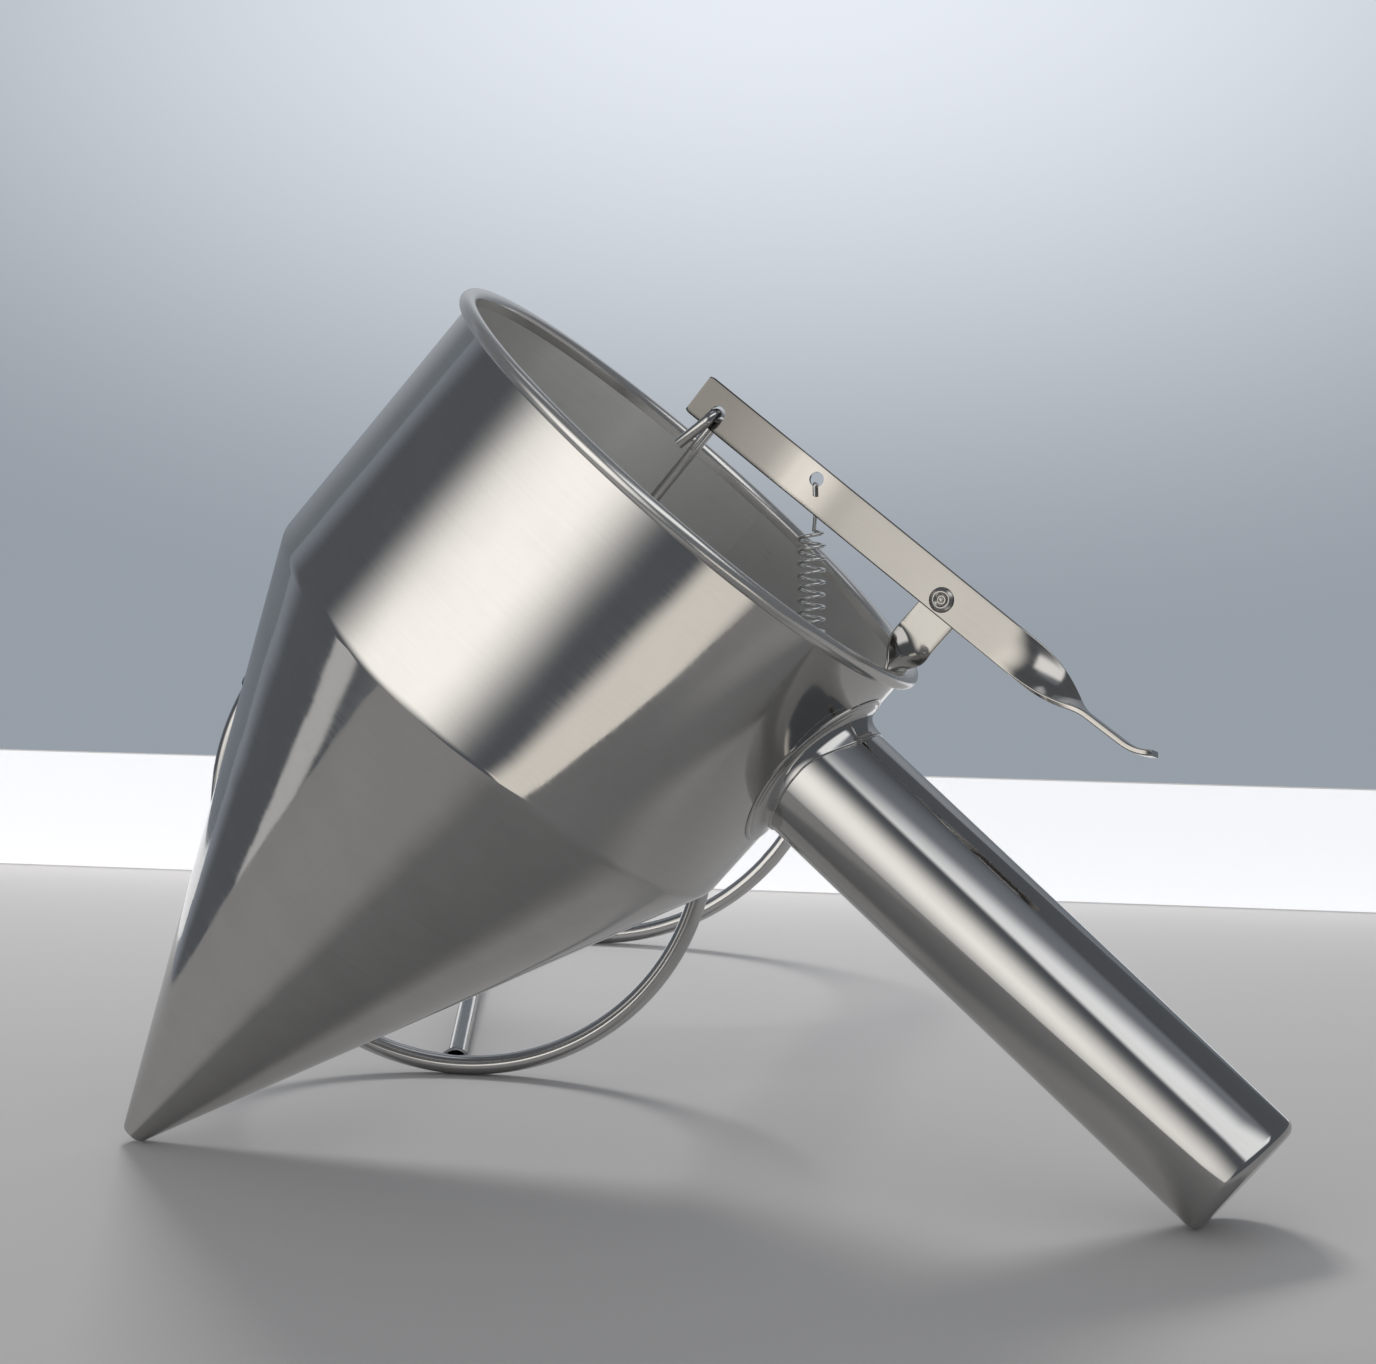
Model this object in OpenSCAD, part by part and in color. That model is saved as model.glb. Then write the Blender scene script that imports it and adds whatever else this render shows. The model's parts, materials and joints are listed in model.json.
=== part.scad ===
// Hand-lever dispensing funnel lying against its wire stand.
// Millimetres, +Z up, origin on the table under the middle of the whole set.
// The funnel has a frame of its own: z runs up its axis from the nozzle end, and x points to the handle.

/* [Funnel] */
// Outer diameter of the rolled rim
rim_d = 150; // [140:1:160]
// Thickness of the rolled bead
bead_d = 4; // [3:0.5:5]
// Height of the drum, from the rim to the fold
drum_h = 76.5; // [60:0.5:90]
// How much narrower the drum is at the fold than at the rim
drum_narrowing = 1.5; // [0:0.5:6]
// Height of the cone, from the fold to the nozzle end
cone_h = 152; // [130:1:170]
// Outer diameter of the nozzle end
nozzle_d = 6.8; // [6:0.2:9]
// Thickness of the sheet
sheet_t = 0.8; // [0.6:0.1:1.2]

/* [Handle] */
// Diameter of the handle tube
handle_d = 35.2; // [30:0.2:38]
// Height of the handle's axis below the rim
handle_drop = 33; // [30:1:40]
// Diameter of the collar where it meets the drum
collar_d = 46; // [44:0.2:52]
// Rounding of the handle's closed end
end_round = 3; // [1:0.5:5]

/* [Lever] */
// Width of the lever's strap
strap_w = 11; // [9:0.5:13]
// Thickness of the strap
strap_t = 1.5; // [1:0.1:2]
// Distance of the pivot from the funnel's axis
pivot_x = 67.3; // [60:0.1:70]
// Height of the pivot above the rim
pivot_rise = 19.9; // [16:0.1:24]
// How far the strap slopes up towards the thumb plate, in degrees
strap_slope = 3.4; // [0:0.1:8]
// Length of the strap in front of the pivot
strap_front = 82; // [78:0.5:88]
// Diameter of the pivot rivet's shank
rivet_d = 4; // [3:0.5:5]

/* [Valve] */
// Diameter of the pull rod's wire
rod_d = 2.8; // [2.4:0.1:4]
// Distance from the pivot to the hook hole, along the strap
hook_reach = 74.6; // [70:0.1:78]
// Outer diameter of the return spring
spring_d = 5.8; // [5:0.1:7]
// Diameter of the spring's wire
spring_wire_d = 0.8; // [0.6:0.1:1]
// Number of turns in the spring's coil
spring_turns = 14; // [10:1:16]

/* [Stand] */
// Diameter of the upper ring, to the middle of its wire
upper_ring_d = 140; // [134:1:142]
// Diameter of the base ring, to the middle of its wire
base_ring_d = 160; // [140:1:170]
// Distance between the rings
stand_h = 188; // [165:1:200]
// Thickness of the stand's wire
wire_d = 5.5; // [4:0.5:6]
// How far each leg runs round the stand from ring to ring, in degrees
leg_sweep = 24; // [0:1:40]

/* [Resting pose] */
// How far the funnel's axis leans from upright, in degrees
lean = 40.8; // [39:0.1:42]
// Which way it leans, in degrees from +X
lean_heading = -7; // [-10:0.5:-4]
// How far the handle is rolled towards the front, in degrees
handle_roll = -12.9; // [-15:0.1:-10]
// Which way the stand's axis lies on the table, in degrees from +Y
stand_heading = -9.5; // [-12:0.5:-7]

/* [Hidden] */
$fn = 96;
STEEL = "silver";
SATIN = "tan";
WIRE = "gainsboro";
fit_gap = 0.05;
side_gap = 0.3;
weld_gap = 0.1;
rim_z = cone_h + drum_h;
drum_r_top = rim_d / 2 - bead_d * 0.75;
drum_r_low = drum_r_top - drum_narrowing / 2;
nozzle_r = nozzle_d / 2;
cone_slope = (drum_r_low - nozzle_r) / cone_h;
sheet_r = sheet_t * sqrt(1 + cone_slope * cone_slope);
handle_r = handle_d / 2;
handle_z = rim_z - handle_drop;
tube_t = 1;

// Directions of the funnel's axis and of its handle, on the table
axis_dir = [sin(lean) * cos(lean_heading), sin(lean) * sin(lean_heading), cos(lean)];
across = cos(lean) * cos(handle_roll);
handle_dir = [across * cos(lean_heading) - sin(handle_roll) * sin(lean_heading),
    across * sin(lean_heading) + sin(handle_roll) * cos(lean_heading),
    -sin(lean) * cos(handle_roll)];
// Half of a thin disc's extent along one axis, from its radius and its normal's part along that axis
function disc_reach(r, part) = r * sqrt(1 - part * part);
// The nozzle end and the handle's rounded end both touch the table
nozzle_z = disc_reach(nozzle_r, axis_dir.z);
end_r = handle_r - end_round;
end_rise = nozzle_z + handle_z * axis_dir.z - disc_reach(end_r, handle_dir.z) - end_round;
handle_end = end_round - end_rise / handle_dir.z;

// The stand lies on its side, on both rings
upper_ring_r = upper_ring_d / 2;
base_ring_r = base_ring_d / 2;
wire_r = wire_d / 2;
stand_tilt = atan((base_ring_r - upper_ring_r) / stand_h);
stand_dir = [-cos(stand_tilt) * sin(stand_heading), cos(stand_tilt) * cos(stand_heading), sin(stand_tilt)];
upper_ring_z = upper_ring_r * cos(stand_tilt) + wire_r;
// Middle of the upper ring, measured along the table from the nozzle end
stand_from_nozzle = [82, 70.6];

// Outermost points of the whole set, measured from the nozzle end
end_from_nozzle = handle_z * axis_dir + (handle_end - end_round) * handle_dir;
low_x = -disc_reach(nozzle_r, axis_dir.x);
high_x = end_from_nozzle.x + disc_reach(end_r, handle_dir.x) + end_round;
low_y = end_from_nozzle.y - disc_reach(end_r, handle_dir.y) - end_round;
high_y = stand_from_nozzle.y + stand_h * stand_dir.y + disc_reach(base_ring_r, stand_dir.y) + wire_r;
nozzle_pos = [-(low_x + high_x) / 2, -(low_y + high_y) / 2, nozzle_z];
stand_pos = [nozzle_pos.x + stand_from_nozzle.x, nozzle_pos.y + stand_from_nozzle.y, upper_ring_z];

// Puts a piece of the funnel where the funnel lies
module in_funnel() {
    translate(nozzle_pos)
    rotate([0, 0, lean_heading])
    rotate([0, lean, 0])
    rotate([0, 0, handle_roll])
    children();
}

// Lays a piece along the handle, with z running from the funnel's axis out to the handle's end
module along_handle() {
    translate([0, 0, handle_z])
    rotate([0, 90, 0])
    children();
}

// Puts a piece of the lever in place: x along the strap, from the pivot to the thumb plate
module in_lever() {
    translate([pivot_x, 0, rim_z + pivot_rise])
    rotate([0, -strap_slope, 0])
    children();
}

// Puts a piece of the stand where it lies: z from the upper ring to the base ring
module in_stand() {
    translate(stand_pos)
    rotate([0, 0, stand_heading])
    rotate([stand_tilt - 90, 0, 0])
    children();
}

function unit(v) = v / norm(v);

// A round wire swept along a path of points
module swept_wire(path, d, sides) {
    last = len(path) - 1;
    ways = [for (i = [0 : last]) unit(path[min(i + 1, last)] - path[max(i - 1, 0)])];
    first_side = unit(cross(ways[0], [0.3, 0.5, 0.8]));
    frames = [for (i = 0, n = first_side; i <= last;
        i = i + 1, n = i > last ? n : unit(n - (n * ways[i]) * ways[i])) n];
    rings = [for (i = [0 : last], k = [0 : sides - 1])
        let (a = 360 * k / sides)
        path[i] + d / 2 * (cos(a) * frames[i] + sin(a) * cross(ways[i], frames[i]))];
    walls = [for (i = [0 : last - 1], k = [0 : sides - 1])
        let (m = (k + 1) % sides)
        [i * sides + k, (i + 1) * sides + k, (i + 1) * sides + m, i * sides + m]];
    start_cap = [for (k = [0 : sides - 1]) k];
    end_cap = [for (k = [sides - 1 : -1 : 0]) last * sides + k];
    polyhedron(points = rings, faces = concat(walls, [start_cap], [end_cap]), convexity = 10);
}

// A straight round wire between two points
module straight_wire(from, to, d) {
    way = to - from;
    translate(from)
    rotate([0, acos(way.z / norm(way)), atan2(way.y, way.x)])
    cylinder(h = norm(way), d = d);
}

// ---- Funnel body ----

// Solid shape of the drum's outside and its weld gap, used to trim what is welded onto it
module drum_outside() {
    translate([0, 0, cone_h])
    cylinder(h = drum_h, r1 = drum_r_low + weld_gap, r2 = drum_r_top + weld_gap);
}

module drum_section() {
    bead_mid = drum_h - bead_d / 2;
    polygon([[drum_r_low, 0], [drum_r_top, bead_mid], [drum_r_top - sheet_t, bead_mid],
        [drum_r_low - sheet_t, 0]]);
}

module drum_shell() {
    color(STEEL)
    in_funnel()
    translate([0, 0, cone_h])
    rotate_extrude()
    drum_section();
}

module rolled_rim() {
    color(STEEL)
    in_funnel()
    translate([0, 0, cone_h])
    rotate_extrude()
    difference() {
        translate([rim_d / 2 - bead_d / 2, drum_h - bead_d / 2])
        circle(d = bead_d);
        drum_section();
    }
}

module cone_shell() {
    color(STEEL)
    in_funnel()
    rotate_extrude()
    polygon([[nozzle_r - sheet_r, 0], [nozzle_r, 0], [drum_r_low, cone_h],
        [drum_r_low - sheet_t, cone_h], [drum_r_low - sheet_t, cone_h - (sheet_r - sheet_t) / cone_slope]]);
}

// ---- Handle ----

// Where the collar's skirt ends and its neck ends, along the handle from the funnel's axis
skirt_end = drum_r_top + 0.6;
neck_end = skirt_end + 5.2;
neck_r = handle_r + 0.8;
neck_len = 1.6;
// The tube's reduced end runs through the collar, and the full tube starts just past the neck
socket_r = handle_r - 0.4;
root_start = drum_r_top * 0.85;
grip_start = neck_end + 0.6;

// Flared section of the collar: a short skirt, a hollow curve and a narrow neck
module collar_section() {
    curve_steps = 8;
    curve_w = collar_d / 2 - neck_r;
    curve_h = neck_end - neck_len - skirt_end;
    hollow = [for (i = [0 : curve_steps])
        let (a = 90 * i / curve_steps)
        [collar_d / 2 - curve_w * sin(a), skirt_end + curve_h * (1 - cos(a))]];
    polygon(concat([[socket_r, root_start], [collar_d / 2, root_start]], hollow,
        [[neck_r, neck_end], [socket_r, neck_end]]));
}

module handle_collar() {
    color(STEEL)
    in_funnel()
    difference() {
        along_handle()
        rotate_extrude()
        collar_section();
        drum_outside();
    }
}

// The cap's outer part starts a little before its rounded edge, and its cup reaches into the tube
cap_depth = 6;
cap_rim_h = 1;
cap_start = handle_end - end_round - cap_rim_h;

module handle_tube() {
    color(STEEL)
    in_funnel()
    difference() {
        along_handle()
        difference() {
            union() {
                translate([0, 0, root_start])
                cylinder(h = grip_start - root_start, r = socket_r);
                translate([0, 0, grip_start])
                cylinder(h = cap_start - grip_start, r = handle_r);
            }
            cylinder(h = handle_end, r = handle_r - tube_t);
        }
        drum_outside();
    }
}

// Pressed cup with a rounded edge that closes the tube
module handle_end_cap() {
    color(STEEL)
    in_funnel()
    along_handle()
    rotate_extrude()
    difference() {
        union() {
            translate([0, cap_start - cap_depth])
            square([handle_r - tube_t, cap_depth + 0.5]);
            translate([0, cap_start])
            square([handle_r, cap_rim_h]);
            translate([0, cap_start])
            square([end_r, handle_end - cap_start]);
            translate([end_r, handle_end - end_round])
            intersection() {
                circle(r = end_round);
                square(end_round);
            }
        }
        // Hollow of the cup
        translate([-1, cap_start - cap_depth - 1])
        square([handle_r - tube_t * 2 + 1, cap_depth + 2]);
    }
}

// ---- Lever, its bracket and its pivot ----

lever_pivot = [pivot_x, 0, rim_z + pivot_rise];
washer_t = 0.6;
bracket_t = 1.2;
// The tab stands behind the lever, with a washer between them
tab_y = strap_t / 2 + side_gap + washer_t + bracket_t / 2;
// The foot lies flat against the inside of the drum
foot_gap = 0.15;
foot_x = sqrt(pow(drum_r_low - sheet_t, 2) - pow(strap_w / 2, 2)) - foot_gap - bracket_t / 2;
foot_low = rim_z - 36;
foot_top = rim_z - 1.5;
tab_x = 68.2;
tab_low = rim_z + 7.5;
tab_top = rim_z + pivot_rise + 4.2;
// Small ear near the foot's lower end
ear_z = rim_z - 31;
ear_reach = 6;
ear_w = 6;
ear_hole_d = 2.4;
// Middle of the ear's hole, measured in from its tip; the spring's lower hook goes through it
ear_hole_in = 2.4;
spring_foot = [foot_x - bracket_t / 2 - ear_reach + ear_hole_in, 0, ear_z];
foot_rivet_d = 2.5;
foot_rivet_z = [rim_z - 11, rim_z - 20];

module pivot_bracket() {
    twist_h = tab_low - foot_top;
    color(SATIN)
    in_funnel() {
        difference() {
            union() {
                // Foot against the drum's wall
                translate([foot_x - bracket_t / 2, -strap_w / 2, foot_low])
                cube([bracket_t, strap_w, foot_top - foot_low]);
                // Ear that holds the spring's lower hook
                translate([foot_x - bracket_t / 2 - ear_reach, -ear_w / 2, ear_z])
                cube([ear_reach + 0.1, ear_w, bracket_t]);
                // Quarter twist between the foot and the tab
                multmatrix([[1, 0, (tab_x - foot_x) / twist_h, foot_x],
                    [0, 1, tab_y / twist_h, 0], [0, 0, 1, foot_top], [0, 0, 0, 1]])
                linear_extrude(height = twist_h, twist = 90, slices = 18, segments = 12)
                square([bracket_t, strap_w], center = true);
                // Upright tab beside the lever
                translate([tab_x - strap_w / 2, tab_y - bracket_t / 2, tab_low])
                cube([strap_w, bracket_t, tab_top - tab_low - strap_w / 2 + 2]);
                translate([tab_x, tab_y + bracket_t / 2, tab_top - strap_w / 2])
                rotate([90, 0, 0])
                cylinder(h = bracket_t, r = strap_w / 2);
            }
            // Hole for the rivet
            translate([lever_pivot.x, tab_y + 5, lever_pivot.z])
            rotate([90, 0, 0])
            cylinder(h = 10, d = rivet_d);
            // Hole for the spring's hook
            translate([spring_foot.x, 0, ear_z - 1])
            cylinder(h = bracket_t + 2, d = ear_hole_d);
            // Holes for the two rivets that hold the foot
            for (z = foot_rivet_z)
                translate([foot_x - 5, 0, z])
                rotate([0, 90, 0])
                cylinder(h = 10, d = foot_rivet_d);
        }
    }
}

// Two flat-headed rivets whose shanks end in the drum's wall
module bracket_rivets() {
    head_x = foot_x - bracket_t / 2;
    head_h = 0.8;
    color(SATIN)
    in_funnel()
    for (z = foot_rivet_z)
        translate([head_x, 0, z])
        rotate([0, 90, 0]) {
            translate([0, 0, -head_h])
            cylinder(h = head_h, r1 = 1.6, r2 = 2.4);
            cylinder(h = bracket_t + 2 * foot_gap, d = foot_rivet_d);
        }
}

// Domed rivet: its shank runs through the lever, the washers and the bracket's tab
module pivot_rivet() {
    head_y = -strap_t / 2 - side_gap;
    head_d = 6.4;
    step_h = 0.5;
    tail_y = tab_y + bracket_t / 2;
    color(SATIN)
    in_funnel()
    translate(lever_pivot)
    rotate([-90, 0, 0]) {
        translate([0, 0, head_y - step_h])
        cylinder(h = step_h, d = head_d);
        translate([0, 0, head_y - 2 * step_h])
        cylinder(h = step_h, d1 = 4.6, d2 = head_d);
        translate([0, 0, head_y])
        cylinder(h = tail_y + washer_t - head_y, d = rivet_d);
        translate([0, 0, tail_y + washer_t])
        cylinder(h = 0.9, d1 = 5.6, d2 = 4.4);
    }
}

washer_d = 8;

module flat_washer(y) {
    color(STEEL)
    in_funnel()
    translate([lever_pivot.x, y, lever_pivot.z])
    rotate([-90, 0, 0])
    difference() {
        cylinder(h = washer_t, d = washer_d);
        translate([0, 0, -1])
        cylinder(h = washer_t + 2, d = rivet_d);
    }
}

module spacer_washer() {
    flat_washer(strap_t / 2 + side_gap);
}

module retaining_washer() {
    flat_washer(tab_y + bracket_t / 2);
}

// The strap's middle lies a little above the pivot
strap_mid = 1.67;
// The quarter twist starts past the pivot and drops a little
twist_start = 20.5;
twist_len = 24.5;
twist_drop = 1.1;
twist_turn = 93;
// Thumb plate: flat first, then curled up
plate_t = 1.3;
plate_flat = 11.8;
plate_rise = 1.5;
plate_bend_r = 12;
plate_bend_turn = 38;
// Holes for the rod's hook and the spring's hook, from the pivot, in the strap's own plane
hook_hole = [-hook_reach, 0.5];
hook_hole_d = rod_d + 1.4;
spring_hole = [-43.9, 3.6];
spring_hole_d = 4;

// Side view of the thumb plate: flat, then curled up at its end
module thumb_plate_section() {
    translate([0, -plate_t / 2])
    square([plate_flat + 0.1, plate_t]);
    translate([plate_flat, plate_bend_r])
    difference() {
        circle(r = plate_bend_r + plate_t / 2);
        circle(r = plate_bend_r - plate_t / 2);
        translate([-40, -40])
        square([40, 80]);
        rotate([0, 0, plate_bend_turn - 90])
        translate([-60, 0])
        square([120, 60]);
    }
}

module lever() {
    color(SATIN)
    in_funnel()
    in_lever() {
        // Flat strap on edge
        rotate([90, 0, 0])
        translate([0, 0, -strap_t / 2])
        linear_extrude(height = strap_t)
        difference() {
            translate([-strap_front, strap_mid - strap_w / 2])
            square([strap_front + twist_start, strap_w]);
            circle(d = rivet_d + 2 * fit_gap);
            translate(hook_hole)
            circle(d = hook_hole_d);
            translate(spring_hole)
            circle(d = spring_hole_d);
        }
        // Quarter twist
        translate([twist_start - 0.4, 0, strap_mid])
        rotate([0, 90 + asin(twist_drop / twist_len), 0])
        linear_extrude(height = twist_len, twist = twist_turn, slices = 24, segments = 12)
        square([strap_w, strap_t], center = true);
        // Thumb plate
        translate([twist_start + twist_len - 0.6, 0, strap_mid - twist_drop])
        rotate([90 - twist_turn, -plate_rise, 0])
        rotate([90, 0, 0])
        translate([0, 0, -strap_w / 2])
        linear_extrude(height = strap_w)
        thumb_plate_section();
    }
}

// ---- Valve: spring, rod and stopper ----

// Turns a point of the lever's own plane, [along the strap, up], into the funnel's frame
function from_lever(p, y) = lever_pivot
    + [p.x * cos(strap_slope) - p.y * sin(strap_slope), y, p.x * sin(strap_slope) + p.y * cos(strap_slope)];

// The coil leans from the strap down to the bracket's ear
coil_top = [30.8, 0, rim_z + 10.6];
coil_low = [59.8, 0, rim_z - 21.3];

function coil_point(t) =
    let (way = unit(coil_low - coil_top),
        side = [0, -1, 0],
        out = cross(way, side),
        r = (spring_d - spring_wire_d) / 2,
        a = 360 * spring_turns * t)
    coil_top + t * (coil_low - coil_top) + r * (cos(a) * side + sin(a) * out);

// Extension spring: a hook through the strap's hole, the coil, and a hook through the bracket's ear
module return_spring() {
    steps_per_turn = 12;
    steps = spring_turns * steps_per_turn;
    hole = from_lever(spring_hole, 0);
    y = strap_t / 2 + spring_wire_d / 2 + 0.35;
    // The wire comes up behind the strap and ends in a short tail in front of it
    upper_hook = [hole + [2.9, -y - 0.1, -3.4], hole + [1.6, -y - 0.2, -2.2], hole + [0.9, -y, -1.4],
        hole + [0.6, -y * 0.6, -1.1], hole + [0.5, 0, -1], hole + [0.6, y * 0.6, -1.1],
        hole + [1, y, -1.6], hole + [2.4, y + 0.2, -3.2], hole + [5.4, y + 0.2, -6.8],
        hole + [6.4, y, -8.2]];
    coil = [for (i = [0 : steps]) coil_point(i / steps)];
    lower_hook = [spring_foot + [-1.9, -0.9, 5.2], spring_foot + [-0.9, -0.3, 3.4], spring_foot + [0, 0, 2],
        spring_foot + [0, 0, -0.8], spring_foot + [0.9, 0, -1.9], spring_foot + [2.2, 0, -1.9]];
    color(STEEL)
    in_funnel()
    swept_wire(concat(upper_hook, coil, lower_hook), spring_wire_d, sides = 6);
}

stopper_top = 13;
// The rod runs down into a hole in the stopper's top
rod_r = rod_d / 2;
rod_hole_depth = 4;
rod_low = [0, 0, stopper_top - rod_hole_depth];
// The hook goes through the strap, and its short tail hangs in front
hook_gap = 0.25;
hook_bend_r = 2.6;
hook_side = strap_t / 2 + hook_gap + hook_bend_r;
hook_pos = from_lever(hook_hole, 0);
rod_tilt = atan(hook_pos.x / (hook_pos.z - rod_low.z));
tail_len = 9.4;
tail_splay = 11;

// Wire rod that ends in a hook through the strap's front hole
module pull_rod() {
    color(WIRE)
    in_funnel() {
        rod_top = hook_pos + [-hook_bend_r * sin(rod_tilt), hook_side, -hook_bend_r];
        straight_wire(rod_low, rod_top, rod_d);
        translate(hook_pos) {
            translate([0, hook_side - hook_bend_r, 0])
            rotate([90, 0, 0])
            cylinder(h = 2 * (hook_side - hook_bend_r), d = rod_d);
            for (side = [-1, 1])
                translate([0, side * (hook_side - hook_bend_r), -hook_bend_r])
                rotate([90, 0, side * 90])
                rotate_extrude(angle = 90)
                translate([hook_bend_r, 0])
                circle(d = rod_d);
            translate([0, -hook_side, -hook_bend_r])
            rotate([0, tail_splay, 0]) {
                sphere(d = rod_d);
                translate([0, 0, -tail_len])
                cylinder(h = tail_len, d = rod_d);
            }
            translate([0, hook_side, -hook_bend_r])
            sphere(d = rod_d);
        }
    }
}

// Turned plug that closes the nozzle from inside
module stopper() {
    nose_z = 1;
    seat_low = 1.8;
    seat_high = 8.5;
    seat_gap = 0.3;
    level_gap = seat_gap * sqrt(1 + cone_slope * cone_slope);
    function seat_r(z) = nozzle_r - sheet_r + cone_slope * z - level_gap;
    color(STEEL)
    in_funnel()
    difference() {
        rotate_extrude()
        polygon([[0, nose_z], [seat_r(seat_low) - 0.6, nose_z], [seat_r(seat_low), seat_low],
            [seat_r(seat_high), seat_high], [seat_r(seat_high) - 0.4, seat_high + 1],
            [rod_r + 0.9, stopper_top - 0.6], [rod_r + 0.5, stopper_top], [0, stopper_top]]);
        straight_wire(rod_low, hook_pos + [0, hook_side, -hook_bend_r], rod_d);
    }
}

// ---- Stand ----

module wire_ring(r) {
    rotate_extrude($fn = 180)
    translate([r, 0])
    circle(d = wire_d, $fn = 32);
}

module stand_upper_ring() {
    color(WIRE)
    in_stand()
    wire_ring(upper_ring_r);
}

module stand_base_ring() {
    color(WIRE)
    in_stand()
    translate([0, 0, stand_h])
    wire_ring(base_ring_r);
}

// The first leg starts just beside the lowest point of the upper ring
first_leg_at = 92.5;

function leg_angle(i, along) = first_leg_at - 120 * i + leg_sweep * along;
function on_ring(a, r, z) = [r * cos(a), r * sin(a), z];
function leg_from(i) = on_ring(leg_angle(i, 0), upper_ring_r, 0);
function leg_to(i) = on_ring(leg_angle(i, 1), base_ring_r, stand_h);

// Short straight length that stands for the ring's wire where a leg meets it
module ring_piece(at, a) {
    half = 10;
    clear = 0.03;
    translate(at)
    rotate([0, 0, a])
    rotate([90, 0, 0])
    translate([0, 0, -half])
    cylinder(h = 2 * half, r = wire_r + clear);
}

module stand_leg(i) {
    color(WIRE)
    in_stand()
    difference() {
        straight_wire(leg_from(i), leg_to(i), wire_d);
        ring_piece(leg_from(i), leg_angle(i, 0));
        ring_piece(leg_to(i), leg_angle(i, 1));
    }
}

module stand_leg_1() {
    stand_leg(0);
}

module stand_leg_2() {
    stand_leg(1);
}

module stand_leg_3() {
    stand_leg(2);
}

tack_d = 3.4;
tack_inset = wire_r * 0.9;

// Beads of weld in the corner between a leg and each ring, on the inside of the stand
module stand_weld_tacks() {
    color(WIRE)
    in_stand()
    for (i = [0 : 2])
        for (along = [0, 1]) {
            a = leg_angle(i, along);
            inner_r = (along == 0 ? upper_ring_r : base_ring_r) - tack_inset;
            tack_z = along == 0 ? tack_inset : stand_h - tack_inset;
            lean_in = along == 0 ? 0 : -0.6;
            difference() {
                translate(on_ring(a + lean_in, inner_r, tack_z))
                sphere(d = tack_d);
                straight_wire(leg_from(i), leg_to(i), wire_d);
                ring_piece(along == 0 ? leg_from(i) : leg_to(i), a);
            }
        }
}

drum_shell();
rolled_rim();
cone_shell();
handle_collar();
handle_tube();
handle_end_cap();
pivot_bracket();
bracket_rivets();
pivot_rivet();
spacer_washer();
retaining_washer();
lever();
return_spring();
pull_rod();
stopper();
stand_upper_ring();
stand_base_ring();
stand_leg_1();
stand_leg_2();
stand_leg_3();
stand_weld_tacks();
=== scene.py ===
"""Hand-lever dispensing funnel leaning on its overturned wire stand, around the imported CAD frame."""
import json
import math

import bmesh
import bpy
from mathutils import Matrix, Vector, noise


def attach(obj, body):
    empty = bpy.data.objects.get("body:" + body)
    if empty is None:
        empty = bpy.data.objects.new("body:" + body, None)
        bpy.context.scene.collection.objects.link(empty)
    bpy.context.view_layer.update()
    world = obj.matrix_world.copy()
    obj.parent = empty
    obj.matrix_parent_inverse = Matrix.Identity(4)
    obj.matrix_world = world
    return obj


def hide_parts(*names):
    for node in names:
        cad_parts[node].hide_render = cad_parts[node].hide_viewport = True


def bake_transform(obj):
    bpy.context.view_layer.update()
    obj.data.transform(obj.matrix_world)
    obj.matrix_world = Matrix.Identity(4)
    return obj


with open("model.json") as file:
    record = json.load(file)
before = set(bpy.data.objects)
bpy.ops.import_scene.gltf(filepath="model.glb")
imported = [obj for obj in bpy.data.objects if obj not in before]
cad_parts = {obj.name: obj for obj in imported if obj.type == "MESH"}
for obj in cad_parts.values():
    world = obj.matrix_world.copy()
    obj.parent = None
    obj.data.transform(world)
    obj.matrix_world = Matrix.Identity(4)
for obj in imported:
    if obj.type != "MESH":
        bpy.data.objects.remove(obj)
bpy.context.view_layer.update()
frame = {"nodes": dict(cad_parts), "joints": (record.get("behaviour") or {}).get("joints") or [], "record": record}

MM = 0.001

# ---- Frames of the funnel, the lever and the stand, read from the record ----

mounts = {m["name"]: m for m in frame["record"]["mounts"]}
joints = {j["name"]: j for j in frame["joints"]}


def frame_matrix(origin, x, z):
    """A frame with its origin in metres and units of millimetres."""
    x, z = Vector(x).normalized(), Vector(z).normalized()
    y = z.cross(x)
    m = Matrix((x, y, z)).transposed().to_4x4()
    return Matrix.Translation(Vector(origin)) @ m @ Matrix.Scale(MM, 4)


funnel_axis = -Vector(mounts["outlet"]["axis"])
FUNNEL = frame_matrix(mounts["outlet"]["pos_m"], mounts["handle_grip"]["axis"], funnel_axis)
stand_axis = -Vector(mounts["stand_seat"]["axis"])
STAND = frame_matrix(mounts["stand_seat"]["pos_m"], (stand_axis.y, -stand_axis.x, 0), stand_axis)


def local_box(node, matrix):
    """Lowest and highest corner of a CAD node in a frame of its own, in millimetres."""
    inverse = matrix.inverted()
    points = [inverse @ v.co for v in frame["nodes"][node].data.vertices]
    lows = Vector(min(p[i] for p in points) for i in range(3))
    highs = Vector(max(p[i] for p in points) for i in range(3))
    return lows, highs


# Funnel: z runs up its axis from the nozzle end, x towards the handle
SHEET = 0.8
rim_low, rim_high = local_box("rolled_rim", FUNNEL)
RIM_Z = rim_high.z
RIM_R = (rim_high.y - rim_low.y) / 2
BEAD_R = 2.0
DRUM_R = RIM_R - 1.5 * BEAD_R
DRUM_TAPER = 0.75
FOLD_Z = local_box("drum_shell", FUNNEL)[0].z
FOLD_R = DRUM_R - DRUM_TAPER
NOZZLE_R = 3.4
CONE_SLOPE = (FOLD_R - NOZZLE_R) / FOLD_Z
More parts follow.
